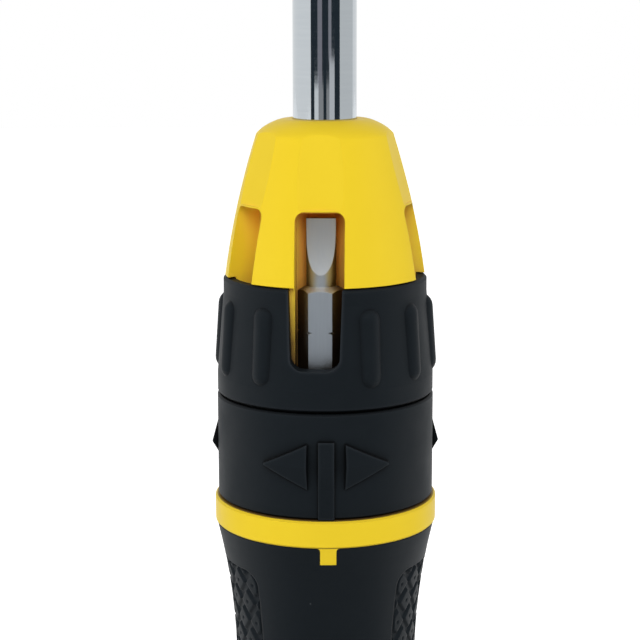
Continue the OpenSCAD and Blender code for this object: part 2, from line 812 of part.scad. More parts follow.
// The gear, with a gap on the X axis at each side
module ratchet_gear() {
    pitch = 360 / gear_teeth;
    tip_angle = asin(gap_tip_half / gear_tip_r);
    root_angle = asin(gap_root_half / gear_root_r);
    color("dimgray") translate([0, 0, z_gear]) difference() {
        linear_extrude(height = gear_h) polygon([
            for (i = [0 : gear_teeth - 1]) each [
                polar(gear_tip_r, i * pitch - tip_angle), polar(gear_root_r, i * pitch - root_angle),
                polar(gear_root_r, i * pitch + root_angle), polar(gear_tip_r, i * pitch + tip_angle)
            ]
        ]);
        translate([0, 0, -over])
            cylinder(r = hex_r(drive_af + 2 * seat_gap), h = gear_h + 2 * over, $fn = 6);
    }
}

module shaft_clip() {
    mouth = 35;
    color("slategray") translate([0, 0, z_clip]) linear_extrude(height = clip_t) difference() {
        circle(rear_bush_r - seat_gap);
        circle(journal_r - clip_groove + seat_gap);
        polygon([[0, 0], polar(2 * rear_bush_r, 90 - mouth), polar(2 * rear_bush_r, 90 + mouth)]);
    }
}

module bit_magnet() {
    color("gray") translate([0, 0, z_socket - magnet_len]) cylinder(d = magnet_d, h = magnet_len);
}

// Direction collar, cam plate and pawls

lug_count = 3;
lug_w = 3;
lug_reach = 0.8;

// The band around the collar in which the symbols lie
module symbol_band() {
    turned([
        [0, z_collar], [collar_r + symbol_foot, z_collar],
        [collar_r + symbol_foot, z_ridge - arrow_h / 2],
        [collar_r + symbol_relief, z_ridge],
        [collar_r + symbol_edge, z_ridge + arrow_h / 2 + over], [0, z_ridge + arrow_h / 2 + over]
    ]);
}

// Two arrows with blunt tips and the bar between them, seen from the front
module symbol_outline() {
    blunt = 0.15;
    bar_rise = 0.3;
    for (flip = [0, 1]) mirror([flip, 0])
        polygon([[arrow_start, z_ridge - arrow_h / 2], [arrow_start + arrow_len, z_ridge - blunt],
            [arrow_start + arrow_len, z_ridge + blunt], [arrow_start, z_ridge + arrow_h / 2]]);
    translate([-bar_w / 2, z_collar]) square([bar_w, z_ridge + arrow_h / 2 + bar_rise - z_collar]);
}

// The symbols seen from above: the arrows' walls beside the bar lean away from the gaps
module symbol_plan() {
    reach = symbol_relief + over;
    lean = symbol_lean * reach / symbol_relief;
    bar_lean = 0.1;
    arrow_end = arrow_start + arrow_len + over;
    arrow_y = sqrt(pow(collar_r, 2) - pow(arrow_start, 2));
    for (flip = [0, 1]) mirror([flip, 0])
        polygon([
            [arrow_start, -collar_r / 2], [arrow_start, -arrow_y], [arrow_start + lean, -arrow_y - reach],
            [arrow_end, -arrow_y - reach], [arrow_end, -collar_r / 2]
        ]);
    polygon([
        [-bar_w / 2, -collar_r / 2], [-bar_w / 2, -collar_r], [-bar_w / 2 + bar_lean, -collar_r - reach],
        [bar_w / 2 - bar_lean, -collar_r - reach], [bar_w / 2, -collar_r], [bar_w / 2, -collar_r / 2]
    ]);
}

// A thumb nub with a long upper slope and a short lower one, which both run into the collar
module nub() {
    upper = 3.5;
    lower = 1.6;
    root = 1.3;
    root_r = collar_r - nub_relief * (root - 1);
    intersection() {
        turned([
            [0, z_ridge - lower * root], [root_r, z_ridge - lower * root], [collar_r + nub_relief, z_ridge],
            [root_r, z_ridge + upper * root], [0, z_ridge + upper * root]
        ]);
        outwards(collar_r - collar_wall / 2, collar_r + nub_relief + over)
            translate([-nub_w / 2, z_ridge - over - lower * root])
                square([nub_w, 2 * over + (lower + upper) * root]);
    }
}

module selector_collar() {
    edge = 0.3;
    bore_r = block_r + run_gap;
    lug_room = 0.1;
    color("#26292d") difference() {
        union() {
            turned([
                [0, z_collar], [collar_r - edge, z_collar], [collar_r, z_collar + edge],
                [collar_r, z_collar_top - edge], [collar_r - edge, z_collar_top], [0, z_collar_top]
            ]);
            rotate(symbol_turn) intersection() {
                symbol_band();
                outwards(collar_r / 2, collar_r + over) symbol_outline();
                translate([0, 0, z_collar]) linear_extrude(height = collar_h) symbol_plan();
            }
            for (side = [-93, 93]) rotate(side) nub();
        }
        translate([0, 0, z_collar - over]) cylinder(r = bore_r, h = z_boss - z_collar + over);
        translate([0, 0, z_collar - over]) cylinder(r = boss_r + run_gap, h = collar_h + 2 * over);
        for (i = [0 : lug_count - 1]) rotate(360 * i / lug_count)
            translate([-lug_w / 2 - lug_room, -block_r - lug_reach - lug_room - run_gap, z_collar - over])
                cube([lug_w + 2 * lug_room, block_r / 2, z_boss - z_collar + over]);
        for (turn = [-selector_turn, 0, selector_turn]) rotate(180 + turn)
            translate([0, 0, z_collar - over])
                linear_extrude(height = z_selector_leaf + leaf_h + leaf_room - z_collar + over)
                    leaf_notch_plan(block_r);
    }
}

// The slot that leads one pawl's follower: its inner edge lifts the pawl as the collar turns
module cam_slot_plan() {
    margin = 4;
    last = selector_turn + margin;
    inner = follower_d / 2 + cam_gap;
    outer_r = follower_reach(-selector_turn) + inner;
    turns = [for (i = [-curve_steps : curve_steps]) last * i / curve_steps];
    polygon(concat(
        [for (turn = turns) polar(follower_reach(turn) - inner, follower_angle(turn))],
        [for (i = [len(turns) - 1 : -1 : 0]) polar(outer_r, follower_angle(turns[i]))]
    ));
}

module selector_cam() {
    color("gray") translate([0, 0, z_cam]) linear_extrude(height = cam_t) difference() {
        union() {
            circle(block_r - run_gap);
            for (i = [0 : lug_count - 1]) rotate(360 * i / lug_count)
                translate([-lug_w / 2, -block_r - lug_reach]) square([lug_w, block_r / 2]);
        }
        circle(hub_r + 2 * run_gap);
        for (flip = [0, 1]) mirror([flip, 0]) cam_slot_plan();
    }
}

// A pawl on the +X side, with its tooth, pivot bore and follower pin
module pawl() {
    translate([0, 0, z_pawl]) {
        linear_extrude(height = pawl_h) difference() {
            union() {
                capsule(pivot, knee, pawl_arm_r);
                capsule(knee, follower, pawl_link_r);
                translate(pivot) circle(pawl_boss_r);
                polygon([[tooth_x, -tooth_half], [tooth_x, tooth_half],
                    [tooth_x + tooth_len, tooth_half + tooth_len * flank_slope],
                    [tooth_x + tooth_len, -tooth_half - tooth_len * flank_slope]]);
            }
            translate(pivot) circle(pivot_d / 2 + run_gap / 2);
        }
        translate([follower[0], follower[1], 0])
            cylinder(d = follower_d, h = z_cam + cam_t - z_pawl);
    }
}

module reverse_pawl() {
    color("dimgray") pawl();
}

module forward_pawl() {
    color("dimgray") mirror([1, 0, 0]) pawl();
}

// Window ring

// Half outline of the ring's outside, with an edge taken off at its foot and its top
function window_outline(edge) = [
    [0, z_window], [win_foot_r - edge, z_window], [win_foot_r, z_window + edge],
    [win_foot_r, z_window + win_foot_h], [win_top_r, z_window_top - win_band_h],
    [win_top_r, z_window_top - edge], [win_top_r - edge, z_window_top], [0, z_window_top]
];

// Radius of the ring's outside where it tapers
function win_r(z) =
    win_foot_r - win_flare * (z - z_window - win_foot_h) / (win_ring_h - win_foot_h - win_band_h);

// A grip rib that follows the taper: a round bar with ball ends, sunk into the outer half of the wall
module rib(foot, top) {
    ball_reach = sqrt(pow(rib_r, 2) - pow(rib_r - rib_relief, 2));
    taper_h = win_ring_h - win_foot_h - win_band_h;
    lean = atan((win_flare - rib_rise) / taper_h);
    outside = win_foot_r + rib_relief + rib_rise + over;
    bar_h = top - foot - 2 * ball_reach;
    intersection() {
        turned([
            [win_r(foot) - win_wall / 2, foot - over], [outside, foot - over],
            [outside, top + over], [win_r(top) - win_wall / 2, top + over]
        ]);
        translate([0, -win_r(foot), foot]) rotate([-lean, 0, 0])
            translate([0, rib_r - rib_relief, ball_reach])
                turned(concat(arc([0, 0], rib_r, -90, 0), arc([0, bar_h], rib_r, 0, 90)));
    }
}

// The window, seen from the front: round corners at the sill, open at the top
module window_cut() {
    sill = z_window + sill_rise;
    corner = window_corner_r;
    half = window_foot_w / 2;
    translate([-half + corner, sill]) square([window_foot_w - 2 * corner, 2 * corner]);
    for (side = [-1, 1]) translate([side * (half - corner), sill + corner]) circle(corner);
    polygon([
        [-half, sill + corner], [half, sill + corner],
        [window_top_w / 2, z_window_top], [window_top_w / 2, z_window_top + over],
        [-window_top_w / 2, z_window_top + over], [-window_top_w / 2, z_window_top]
    ]);
}

module window_ring() {
    edge = 0.4;
    bore_r = drum_r + run_gap;
    rib_margin = 0.4;
    rib_foot = z_window + win_foot_h + rib_margin;
    rib_top = z_window_top - win_band_h - 2 * rib_margin;
    pitch = 360 / rib_places;
    color("#26292d") rotate(carousel_turn + ring_rest) difference() {
        union() {
            turned(window_outline(edge));
            for (i = [1 : rib_places - 1]) rotate(i * pitch) rib(rib_foot, rib_top);
        }
        translate([0, 0, z_window - over]) cylinder(r = bore_r, h = win_ring_h + 2 * over);
        translate([0, 0, z_window - over])
            cylinder(r = keeper_r + seam_gap, h = z_drum - z_window + seam_gap + over);
        outwards(bore_r / 2, win_foot_r + rib_relief + over) window_cut();
        for (stop = [each [for (i = [0 : slot_count - 1]) slot_pitch * i],
                slot_pitch * (slot_count - 1) / 2 + 180])
            rotate(ring_leaf_turn - carousel_turn - ring_rest + stop) translate([0, 0, z_window - over])
                linear_extrude(height = z_ring_leaf + ring_leaf_h + leaf_room - z_window + over)
                    leaf_notch_plan(drum_r);
    }
}

handle_core();
handle_grip();
ratchet_housing();
stem_pin();
rear_bush();
front_bush();
pawl_pins();
forward_pawl_spring();
reverse_pawl_spring();
selector_detent_spring();
bit_carousel();
carousel_snap_ring();
keeper_ring();
ring_detent_spring();
slotted_bit_front();
slotted_bit_small();
phillips_bit_small();
torx_bit_large();
torx_bit_small();
shaft();
ratchet_gear();
shaft_clip();
bit_magnet();
phillips_bit_chuck();
selector_collar();
selector_cam();
forward_pawl();
reverse_pawl();
window_ring();
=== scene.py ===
"""Looks of a ratcheting screwdriver that stores its bits in its nose.

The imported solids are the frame. Each section below is one piece or one group of like pieces of the
real tool, in the order in which the tool is put together. Sizes are in metres.
"""

import math

import bpy
import numpy as np
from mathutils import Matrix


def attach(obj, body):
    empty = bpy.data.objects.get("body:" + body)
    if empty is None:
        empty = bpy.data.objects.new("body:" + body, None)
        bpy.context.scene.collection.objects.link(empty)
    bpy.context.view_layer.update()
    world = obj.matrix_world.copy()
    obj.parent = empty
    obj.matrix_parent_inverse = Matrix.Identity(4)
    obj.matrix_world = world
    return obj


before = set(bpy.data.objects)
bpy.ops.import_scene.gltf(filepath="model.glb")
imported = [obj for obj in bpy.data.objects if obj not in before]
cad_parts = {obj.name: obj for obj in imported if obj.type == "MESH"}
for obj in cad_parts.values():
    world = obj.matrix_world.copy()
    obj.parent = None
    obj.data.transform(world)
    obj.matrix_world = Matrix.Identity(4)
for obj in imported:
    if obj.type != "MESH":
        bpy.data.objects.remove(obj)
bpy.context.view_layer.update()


# Handle core. It is one injection moulding that runs the whole length of the handle, but only its top
# shows: the index ring, and the tab that points at the collar's setting. The soft grip is moulded over
# the rest, and the stem of the ratchet housing is pressed into it.


def linear(colour):
    """The linear RGBA of an sRGB hex colour: below 0.04045 divided by 12.92, and above it a 2.4 power."""
    srgb = np.array([int(colour[at : at + 2], 16) for at in (1, 3, 5)]) / 255
    rgb = np.where(srgb <= 0.04045, srgb / 12.92, ((srgb + 0.055) / 1.055) ** 2.4)
    return (*rgb.tolist(), 1.0)


def add_node(tree, kind, settings=None, values=None, links=None):
    """Adds one shader node of a kind, with its settings, its sockets' values and what is linked into them."""
    made = tree.nodes.new("ShaderNode" + kind)
    for name, value in (settings or {}).items():
        setattr(made, name, value)
    for socket, value in (values or {}).items():
        made.inputs[socket].default_value = value
    for socket, source in (links or {}).items():
        tree.links.new(source, made.inputs[socket])
    return made


def start_material(name):
    """A new material that holds only the Object coordinates that its patterns read."""
    material = bpy.data.materials.new(name)
    material.use_nodes = True
    tree = material.node_tree
    tree.nodes.clear()
    place = add_node(tree, "TexCoord").outputs["Object"]
    return material, tree, place


def end_material(tree, shader):
    """Links a shader to the material's output."""
    add_node(tree, "OutputMaterial", links={"Surface": shader.outputs["BSDF"]})


def dress(material, *names):
    """Gives a material to the solids of these names."""
    for name in names:
        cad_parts[name].material_slots[0].material = material


# ABS from a mould that was spark eroded to a fine even grain: a warm yellow with a soft gloss, a little
# paler and duller where the melt flowed last. The light that bounces from wall to wall in hollows is painted
# into the colour as a brighter orange, the more so the deeper they are. Sheltered places below the top edge
# of the window ring are painted dark brown as shade. The real grain, about 0.05 mm, is drawn at 0.35 mm so
# that it shows.
abs_flow_size = 0.014
abs_grain_size = 0.00035
abs_edge_radius = 0.0002
abs_hollow_size = 0.008
shade_top_z = 0.1295
shade_full_z = 0.12
yellow_abs, tree, place = start_material("moulded_yellow_abs")
flow = add_node(
    tree,
    "TexNoise",
    values={"Scale": 1 / abs_flow_size, "Detail": 3.0, "Roughness": 0.55},
    links={"Vector": place},
)
grain = add_node(
    tree, "TexNoise", values={"Scale": 1 / abs_grain_size, "Detail": 2.0}, links={"Vector": place}
)
# Sockets 6 and 7 of a colour mix are its two colours, and output 2 is the mix
tint = add_node(
    tree,
    "Mix",
    {"data_type": "RGBA"},
    {6: linear("#e4c327"), 7: linear("#e9cb2b")},
    {0: flow.outputs["Fac"]},
)
openness = add_node(tree, "AmbientOcclusion", {"samples": 8}, {"Distance": abs_hollow_size})
# Painted bounce light: the more closed in a place is, the more its colour is painted a bright orange
hollow = add_node(
    tree,
    "MapRange",
    values={"From Min": 0.25, "From Max": 0.82, "To Min": 1.0, "To Max": 0.0},
    links={"Value": openness.outputs["AO"]},
)
glow = add_node(
    tree,
    "Mix",
    {"data_type": "RGBA"},
    {7: linear("#ffd452")},
    {0: hollow.outputs["Result"], 6: tint.outputs[2]},
)
deep_hollow = add_node(
    tree,
    "MapRange",
    values={"From Min": 0.2, "From Max": 0.42, "To Min": 1.0, "To Max": 0.0},
    links={"Value": openness.outputs["AO"]},
)
deep_glow = add_node(
    tree,
    "Mix",
    {"data_type": "RGBA"},
    {7: linear("#ffb250")},
    {0: deep_hollow.outputs["Result"], 6: glow.outputs[2]},
)
height = add_node(tree, "SeparateXYZ", links={"Vector": place}).outputs["Z"]
below_ring = add_node(
    tree,
    "MapRange",
    values={"From Min": shade_full_z, "From Max": shade_top_z, "To Min": 1.0, "To Max": 0.0},
    links={"Value": height},
)
sheltered = add_node(
    tree,
    "MapRange",
    values={"From Min": 0.4, "From Max": 0.95, "To Min": 1.0, "To Max": 0.0},
    links={"Value": openness.outputs["AO"]},
)
# Painted shade: sheltered places below the window ring's top edge are painted dark brown
painted_shade = add_node(
    tree,
    "Math",
    {"operation": "MULTIPLY"},
    links={0: sheltered.outputs["Result"], 1: below_ring.outputs["Result"]},
)
shade_painted = add_node(
    tree,
    "Mix",
    {"data_type": "RGBA"},
    {7: linear("#6a512c")},
    {0: painted_shade.outputs["Value"], 6: deep_glow.outputs[2]},
)
# A noise pattern stays mostly within this span
noise_span = {"From Min": 0.3, "From Max": 0.7}
gloss = add_node(
    tree,
    "MapRange",
    values={**noise_span, "To Min": 0.46, "To Max": 0.38},
    links={"Value": flow.outputs["Fac"]},
)
round_edge = add_node(tree, "Bevel", {"samples": 6}, {"Radius": abs_edge_radius})
relief = add_node(
    tree,
    "Bump",
    values={"Strength": 0.12, "Distance": 0.00003},
    links={"Height": grain.outputs["Fac"], "Normal": round_edge.outputs["Normal"]},
)
abs_shader = add_node(
    tree,
    "BsdfPrincipled",
    values={"IOR": 1.53, "Specular IOR Level": 0.1},
    links={
        "Base Color": shade_painted.outputs[2],
        "Roughness": gloss.outputs["Result"],
        "Normal": relief.outputs["Normal"],
    },
)
end_material(tree, abs_shader)
dress(yellow_abs, "handle_core")


# Soft grip. A thermoplastic elastomer moulded over the core, with a waist for the fingers and a swell for
# the palm. A shallow recess at each side is filled by a field of small raised diamonds, which are part of
# the same moulding and are a separate piece here.

# The elastomer comes out of a matt mould: near black with a cold tint, dull, with a fine tooth that
# catches dust. The tooth is drawn at 0.3 mm, coarser than the real 0.1 mm, so that it shows.
elastomer_tooth_size = 0.0003
elastomer_cloud_size = 0.009
elastomer_dust_pitch = 0.0035
elastomer_edge_radius = 0.0003
black_elastomer, tree, place = start_material("matt_black_elastomer")
cloud = add_node(
    tree,
    "TexNoise",
    values={"Scale": 1 / elastomer_cloud_size, "Detail": 4.0, "Roughness": 0.6},
    links={"Vector": place},
)
tooth = add_node(
    tree, "TexNoise", values={"Scale": 1 / elastomer_tooth_size, "Detail": 2.0}, links={"Vector": place}
)
body_tint = add_node(
    tree,
    "Mix",
    {"data_type": "RGBA"},
    {6: linear("#13181c"), 7: linear("#181d21")},
    {0: cloud.outputs["Fac"]},
)
# Specks of dust lie at random points, a few millimetres apart, and only the nearest tenth of a millimetre
# to each point is pale
dust = add_node(
    tree,
    "TexVoronoi",
    values={"Scale": 1 / elastomer_dust_pitch, "Randomness": 1.0},
    links={"Vector": place},
)
speck = add_node(
    tree,
    "MapRange",
    {"clamp": True},
    {"From Min": 0.02, "From Max": 0.05, "To Min": 0.25, "To Max": 0.0},
    {"Value": dust.outputs["Distance"]},
)
dusted = add_node(
    tree,
    "Mix",
    {"data_type": "RGBA"},
    {7: linear("#6a6c6e")},
    {0: speck.outputs["Result"], 6: body_tint.outputs[2]},
)
dullness = add_node(
    tree,
    "MapRange",
    values={**noise_span, "To Min": 0.5, "To Max": 0.6},
    links={"Value": cloud.outputs["Fac"]},
)
round_edge = add_node(tree, "Bevel", {"samples": 6}, {"Radius": elastomer_edge_radius})
relief = add_node(
    tree,
    "Bump",
    values={"Strength": 0.15, "Distance": 0.00004},
    links={"Height": tooth.outputs["Fac"], "Normal": round_edge.outputs["Normal"]},
)
elastomer_shader = add_node(
    tree,
    "BsdfPrincipled",
    values={"IOR": 1.5, "Specular IOR Level": 0.11},
    links={
        "Base Color": dusted.outputs[2],
        "Roughness": dullness.outputs["Result"],
        "Normal": relief.outputs["Normal"],
    },
)
end_material(tree, elastomer_shader)
dress(black_elastomer, "handle_grip")

index_ring_z = 0.0886
waist_drop = 0.0266
palm_drop = 0.0586
waist_radius = 0.0146
top_flare = 0.003
top_flare_power = 2.2
palm_flare = 0.0024
butt_radius = 0.011
butt_flare = 0.006
butt_power = 2.6
pad_top_z = 0.0829
pad_foot_z = 0.0233
pad_half_angle = math.radians(46.7)
pad_corner = 0.0022
pad_depth = 0.0005
pad_border_gap = 0.00025
pad_base_rise = 0.00008
diamond_rise = 0.0004
diamond_turn = math.radians(14.1)
diamond_pitch_z = 0.0065
diamond_row_z = 0.08047
diamond_width_share = 0.93
diamond_height = 0.0040
diamond_wall = 0.00025
dimple_radius = 0.00032
dimple_depth = 0.00018
pad_grid_step = 0.00017


def grip_radius(z):
    """The grip's radius at a height: a power curve to the waist, then a half cosine out to the palm swell,
    then a superellipse in to the flat butt."""
    drop = index_ring_z - z
    to_waist = waist_radius + top_flare * np.clip(1 - drop / waist_drop, 0, 1) ** top_flare_power
    past_waist = (drop - waist_drop) / (palm_drop - waist_drop)
    to_palm = waist_radius + palm_flare * (1 - np.cos(np.pi * past_waist)) / 2
    past_palm = np.clip((drop - palm_drop) / (index_ring_z - palm_drop), 0, 1)
    to_butt = butt_radius + butt_flare * (1 - past_palm**butt_power) ** (1 / butt_power)
    return np.where(drop <= waist_drop, to_waist, np.where(drop <= palm_drop, to_palm, to_butt))


def smooth_step(low, high, value):
    """A rise from 0 at low to 1 at high, with a level start and end: 3t^2 - 2t^3."""
    t = np.clip((value - low) / (high - low), 0, 1)
    return t * t * (3 - 2 * t)


def diamond_relief(turn, z, radius):
    """Height of the diamonds above the pad's base. Their centres form two interleaved grids in turn and
    height. A point is inside a diamond where |across| / half width + |along| / half height is below 1, and
    its wall rises over a set distance to that edge. A round dimple marks each centre."""
    half_width = diamond_width_share * diamond_turn * radius / 2
    half_height = diamond_height / 2
    inside = np.full(turn.shape, -np.inf)
    to_centre = np.full(turn.shape, np.inf)
    for shift in (0.0, 0.5):
        column = turn / diamond_turn - shift
        row = (z - diamond_row_z) / diamond_pitch_z - shift
        across = (column - np.round(column)) * diamond_turn * radius
        along = (row - np.round(row)) * diamond_pitch_z
        edge = 1 - np.abs(across) / half_width - np.abs(along) / half_height
        inside = np.maximum(inside, edge / np.hypot(1 / half_width, 1 / half_height))
        to_centre = np.minimum(to_centre, np.hypot(across, along))
    rise = diamond_rise * smooth_step(-diamond_wall / 2, diamond_wall / 2, inside)
    return rise - dimple_depth * (1 - smooth_step(0.5 * dimple_radius, dimple_radius, to_centre))


def pad_surface(side):
    """Points of one pad on a grid of height and turn: radius = recess floor + base + diamonds, out to a
    border that keeps a set angle and has round corners. The rim of the grid dips under the recess floor."""
    foot = pad_foot_z + pad_border_gap
    top = pad_top_z - pad_border_gap
    rows = int((top - foot) / pad_grid_step)
    columns = int(2 * pad_half_angle * grip_radius(np.array(top)) / pad_grid_step)
    z = np.linspace(foot, top, rows)[:, None]
    across = np.linspace(-1, 1, columns)[None, :]
    radius = grip_radius(z)
    into_corner = np.clip(1 - np.minimum(z - foot, top - z) / pad_corner, 0, 1)
    cut_back = pad_corner * (1 - np.sqrt(1 - into_corner**2))
    half_turn = pad_half_angle - (pad_border_gap + cut_back) / radius
    turn = across * half_turn
    z = np.broadcast_to(z, turn.shape)
    to_rim = np.minimum((1 - np.abs(across)) * half_turn * radius, np.minimum(z - foot, top - z))
    lift = pad_base_rise + diamond_relief(turn, z, radius)
    lift = np.where(to_rim < pad_grid_step / 2, -pad_base_rise, lift)
    radius = radius - pad_depth + lift
    points = np.stack([side * radius * np.cos(turn), radius * np.sin(turn), z], axis=-1)
    return points


def grid_mesh(name, points, flip):
    """A mesh from a grid of points: each quad joins a point with its right, upper right and upper
    neighbours, the other way round where flip asks for it."""
    rows, columns = points.shape[:2]
    number = np.arange(rows * columns).reshape(rows, columns)
    quads = [number[:-1, :-1], number[:-1, 1:], number[1:, 1:], number[1:, :-1]]
    if flip:
        quads.reverse()
    mesh = bpy.data.meshes.new(name)
    mesh.from_pydata(points.reshape(-1, 3), [], np.stack(quads, axis=-1).reshape(-1, 4))
    mesh.polygons.foreach_set("use_smooth", np.ones(len(mesh.polygons), dtype=bool))
    mesh.update()
    piece = bpy.data.objects.new(name, mesh)
    bpy.context.scene.collection.objects.link(piece)
    return piece


for name, side in (("grip_pad_right", 1), ("grip_pad_left", -1)):
    pad = grid_mesh(name, pad_surface(side), flip=side < 0)
    pad.data.materials.append(black_elastomer)
    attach(pad, "handle")


# Ratchet housing. A zinc die casting with a hexagonal stem in the core, the gear's cavity, a pocket for
# each pawl and a hub for the nose. It is covered by the collar and the nose.

# Zinc as it comes from the die, tumbled: a dull pale grey, mottled where the metal chilled first.
zinc_mottle_size = 0.0025
die_cast_zinc, tree, place = start_material("tumbled_die_cast_zinc")
mottle = add_node(
    tree,
    "TexNoise",
    values={"Scale": 1 / zinc_mottle_size, "Detail": 5.0, "Roughness": 0.65},
    links={"Vector": place},
)
zinc_tint = add_node(
    tree,
    "Mix",
    {"data_type": "RGBA"},
    {6: linear("#9b9ea1"), 7: linear("#b3b6b8")},
    {0: mottle.outputs["Fac"]},
)
zinc_dullness = add_node(
    tree,
    "MapRange",
    values={**noise_span, "To Min": 0.4, "To Max": 0.55},
    links={"Value": mottle.outputs["Fac"]},
)
zinc_relief = add_node(
    tree,
    "Bump",
    values={"Strength": 0.2, "Distance": 0.00005},
    links={"Height": mottle.outputs["Fac"]},
)
zinc_shader = add_node(
    tree,
    "BsdfPrincipled",
    values={"Metallic": 1.0},
    links={
        "Base Color": zinc_tint.outputs[2],
        "Roughness": zinc_dullness.outputs["Result"],
        "Normal": zinc_relief.outputs["Normal"],
    },
)
end_material(tree, zinc_shader)
dress(die_cast_zinc, "ratchet_housing")


# Pins and keeper washer. Drawn steel wire cut to length, and a blanked steel ring under the window ring.

# Bright drawn steel: smooth, with fine lines along the tool's axis from the die. The lines, about 0.02 mm
# apart, are drawn 0.15 mm apart so that they show.
drawn_line_size = 0.00015
drawn_line_length = 0.006
drawn_steel, tree, place = start_material("bright_drawn_steel")
stretch = add_node(
    tree,
    "Mapping",
    values={"Scale": (1 / drawn_line_size, 1 / drawn_line_size, 1 / drawn_line_length)},
    links={"Vector": place},
)
lines = add_node(
    tree, "TexNoise", values={"Scale": 1.0, "Detail": 2.0}, links={"Vector": stretch.outputs["Vector"]}
)
drawn_tint = add_node(
    tree,
    "Mix",
    {"data_type": "RGBA"},
    {6: linear("#a9abad"), 7: linear("#c2c4c5")},
    {0: lines.outputs["Fac"]},
)
drawn_gloss = add_node(
    tree,
    "MapRange",
    values={**noise_span, "To Min": 0.22, "To Max": 0.34},
    links={"Value": lines.outputs["Fac"]},
)
drawn_shader = add_node(
    tree,
    "BsdfPrincipled",
    values={"Metallic": 1.0},
    links={"Base Color": drawn_tint.outputs[2], "Roughness": drawn_gloss.outputs["Result"]},
)
end_material(tree, drawn_shader)
dress(drawn_steel, "stem_pin", "pawl_pins", "keeper_ring")


# Bushes. Two plain bearings of sintered bronze, soaked in oil, are pressed into the housing and carry
# the shaft.

# Sintered bronze: pressed from powder of about 0.1 mm, so it is speckled and slightly open, with an oily
# sheen.
bronze_powder_size = 0.0002
sintered_bronze, tree, place = start_material("oiled_sintered_bronze")
powder = add_node(
    tree,
    "TexVoronoi",
    values={"Scale": 1 / bronze_powder_size, "Randomness": 1.0},
    links={"Vector": place},
)
bronze_tint = add_node(
    tree,
    "Mix",
    {"data_type": "RGBA"},
    {6: linear("#8a6537"), 7: linear("#b58a52")},
    {0: powder.outputs["Distance"]},
)
bronze_relief = add_node(
    tree,
    "Bump",
    values={"Strength": 0.2, "Distance": 0.00003},
    links={"Height": powder.outputs["Distance"]},
)
bronze_shader = add_node(
    tree,
    "BsdfPrincipled",
    values={"Metallic": 1.0, "Roughness": 0.38},
    links={"Base Color": bronze_tint.outputs[2], "Normal": bronze_relief.outputs["Normal"]},
)
end_material(tree, bronze_shader)
dress(sintered_bronze, "rear_bush", "front_bush")


# Springs, clip and snap ring. Two C springs press the pawls in, two bowed leaves click the collar and the
# window ring into their places, and the clip and the snap ring hold the shaft and the nose.

# Spring steel, hardened and tempered: a straw to blue oxide film that drifts over a few millimetres.
temper_drift_size = 0.004
tempered_spring, tree, place = start_material("tempered_spring_steel")
drift = add_node(
    tree, "TexNoise", values={"Scale": 1 / temper_drift_size, "Detail": 3.0}, links={"Vector": place}
)
temper_tint = add_node(
    tree,
    "Mix",
    {"data_type": "RGBA"},
    {6: linear("#56606d"), 7: linear("#7d7468")},
    {0: drift.outputs["Fac"]},
)
temper_gloss = add_node(
    tree,
    "MapRange",
    values={**noise_span, "To Min": 0.25, "To Max": 0.38},
    links={"Value": drift.outputs["Fac"]},
)
temper_shader = add_node(
    tree,
    "BsdfPrincipled",
    values={"Metallic": 1.0},
    links={"Base Color": temper_tint.outputs[2], "Roughness": temper_gloss.outputs["Result"]},
)
end_material(tree, temper_shader)
dress(
    tempered_spring,
    "forward_pawl_spring",
    "reverse_pawl_spring",
    "selector_detent_spring",
    "ring_detent_spring",
    "carousel_snap_ring",
    "shaft_clip",
)


# Ratchet gear, pawls and cam plate. They are pressed from iron powder, sintered and steam treated. The
# gear sits on the shaft's hexagon, each pawl swings on its pin, and the collar turns the cam plate.

# Steam treated sintered steel: a dark grey oxide, finely speckled by the powder, with a dull shine.
sinter_grain_size = 0.0003
sintered_steel, tree, place = start_material("steam_treated_sintered_steel")
sinter_grain = add_node(
    tree, "TexNoise", values={"Scale": 1 / sinter_grain_size, "Detail": 3.0}, links={"Vector": place}
)
sinter_tint = add_node(
    tree,
    "Mix",
    {"data_type": "RGBA"},
    {6: linear("#3d4043"), 7: linear("#5a5d60")},
    {0: sinter_grain.outputs["Fac"]},
)
sinter_relief = add_node(
    tree,
    "Bump",
    values={"Strength": 0.2, "Distance": 0.00003},
    links={"Height": sinter_grain.outputs["Fac"]},
)
sinter_shader = add_node(
    tree,
    "BsdfPrincipled",
    values={"Metallic": 1.0, "Roughness": 0.45},
    links={"Base Color": sinter_tint.outputs[2], "Normal": sinter_relief.outputs["Normal"]},
)
end_material(tree, sinter_shader)
dress(sintered_steel, "ratchet_gear", "forward_pawl", "reverse_pawl", "selector_cam")


# Direction collar and window ring. Both are black glass-filled nylon mouldings that turn on the tool: the
# collar, with its arrows and bar in low relief, sets the ratchet, and the ribbed ring turns its window
# to the wanted bit.

# Glass-filled nylon from a lightly textured mould: near black and cold, a little glossier than the grip,
# with faint clouds from the glass. Its edges are painted a little paler as a highlight, and its creases are
# painted near black as shade. The mould's grain, 0.08 mm, is drawn at 0.3 mm so that it shows.
nylon_cloud_size = 0.007
nylon_grain_size = 0.0003
nylon_edge_radius = 0.0002
nylon_highlight_width = 0.0005
nylon_shade_width = 0.002
black_nylon, tree, place = start_material("moulded_black_nylon")
nylon_cloud = add_node(
    tree,
    "TexNoise",
    values={"Scale": 1 / nylon_cloud_size, "Detail": 4.0, "Roughness": 0.6},
    links={"Vector": place},
)
nylon_grain = add_node(
    tree, "TexNoise", values={"Scale": 1 / nylon_grain_size, "Detail": 2.0}, links={"Vector": place}
)
nylon_tint = add_node(
    tree,
    "Mix",
    {"data_type": "RGBA"},
    {6: linear("#13181c"), 7: linear("#181d21")},
    {0: nylon_cloud.outputs["Fac"]},
)
